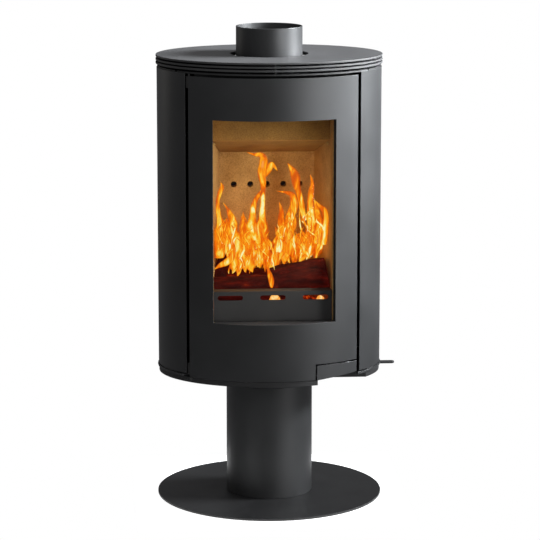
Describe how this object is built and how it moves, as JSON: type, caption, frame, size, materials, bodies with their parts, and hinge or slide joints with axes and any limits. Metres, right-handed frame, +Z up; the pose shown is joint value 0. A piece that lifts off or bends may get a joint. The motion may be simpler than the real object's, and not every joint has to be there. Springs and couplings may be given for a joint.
{
  "type": "wood burning stove",
  "caption": "Oval steel wood burning stove on a round pedestal, with a curved hinged glass door, flap handle, air lever, lined firebox, louvred top and top flue collar.",
  "frame": {"origin": "middle of the underside of the round foot, on the floor", "axes": "+Z up along the pedestal to the flue collar; -Y is the front with the glass door; +X is the side with the air lever and the door handle"},
  "size_m": [0.547, 0.516, 1.08],
  "materials": {
    "body_paint": "satin heat-resistant black-grey stove paint",
    "dark_paint": "matte black stove paint",
    "top_paint": "satin heat-resistant dark grey stove paint",
    "cast_iron": "rough cast",
    "zinc_steel": "zinc plated",
    "vermiculite": "pressed vermiculite board, golden tan",
    "glass_fibre_rope": "braided glass-fibre rope",
    "door_glass": "clear ceramic glass"
  },
  "bodies": {
    "stove": {"pedestal_column": "body_paint", "column_seam_ring": "body_paint", "column_head": "body_paint", "bottom_plate": "body_paint", "side_panel_left": "body_paint", "side_panel_right": "body_paint", "rear_panel": "body_paint", "flue_collar": "body_paint", "log_guard": "body_paint", "ash_pan": "body_paint", "base_plate": "dark_paint", "air_box": "dark_paint", "top_deck": "dark_paint", "louvre_post_1": "dark_paint", "louvre_post_2": "dark_paint", "louvre_post_3": "dark_paint", "louvre_post_4": "dark_paint", "firebox_shell": "dark_paint", "front_frame": "dark_paint", "firebox_floor": "dark_paint", "louvre_ring_lower": "top_paint", "louvre_ring_upper": "top_paint", "top_plate": "top_paint", "grate": "cast_iron", "hinge_pin_upper": "cast_iron", "hinge_pin_lower": "cast_iron", "rear_screw_1": "zinc_steel", "rear_screw_2": "zinc_steel", "rear_screw_3": "zinc_steel", "rear_screw_4": "zinc_steel", "collar_bolt_1": "zinc_steel", "collar_bolt_2": "zinc_steel", "collar_bolt_3": "zinc_steel", "collar_bolt_4": "zinc_steel", "lever_pin": "zinc_steel", "side_brick_left": "vermiculite", "side_brick_right": "vermiculite", "back_brick": "vermiculite", "floor_brick_left": "vermiculite", "floor_brick_right": "vermiculite", "baffle": "vermiculite", "baffle_peg_left": "vermiculite", "baffle_peg_right": "vermiculite"},
    "door": {"door_skin": "body_paint", "door_frame": "dark_paint", "window_reveal": "dark_paint", "handle_bracket_left": "dark_paint", "handle_bracket_right": "dark_paint", "hinge_eye_upper": "cast_iron", "hinge_eye_lower": "cast_iron", "glass_seal": "glass_fibre_rope", "door_seal": "glass_fibre_rope", "door_glass": "door_glass"},
    "handle": {"handle_plate": "body_paint", "handle_shaft": "zinc_steel", "return_spring": "zinc_steel", "latch_tongue": "cast_iron"},
    "air_control": {"air_lever": "body_paint", "air_valve": "zinc_steel"}
  },
  "joints": [
    {"name": "door_hinge", "type": "hinge", "parent": "stove", "child": "door", "pos_m": [-0.1861, -0.1292, 0.644], "axis": [0, 0, -1], "range_deg": [0, 100]},
    {"name": "handle_pivot", "type": "hinge", "parent": "door", "child": "handle", "pos_m": [0.14016, -0.15646, 0.334], "axis": [-0.8775, -0.4795, 0], "range_deg": [0, 18], "stiffness_Nm_per_rad": 0.6},
    {"name": "air_lever_pivot", "type": "hinge", "parent": "stove", "child": "air_control", "pos_m": [0.15, 0, 0.3], "axis": [0, 0, 1], "range_deg": [-15, 15]}
  ]
}
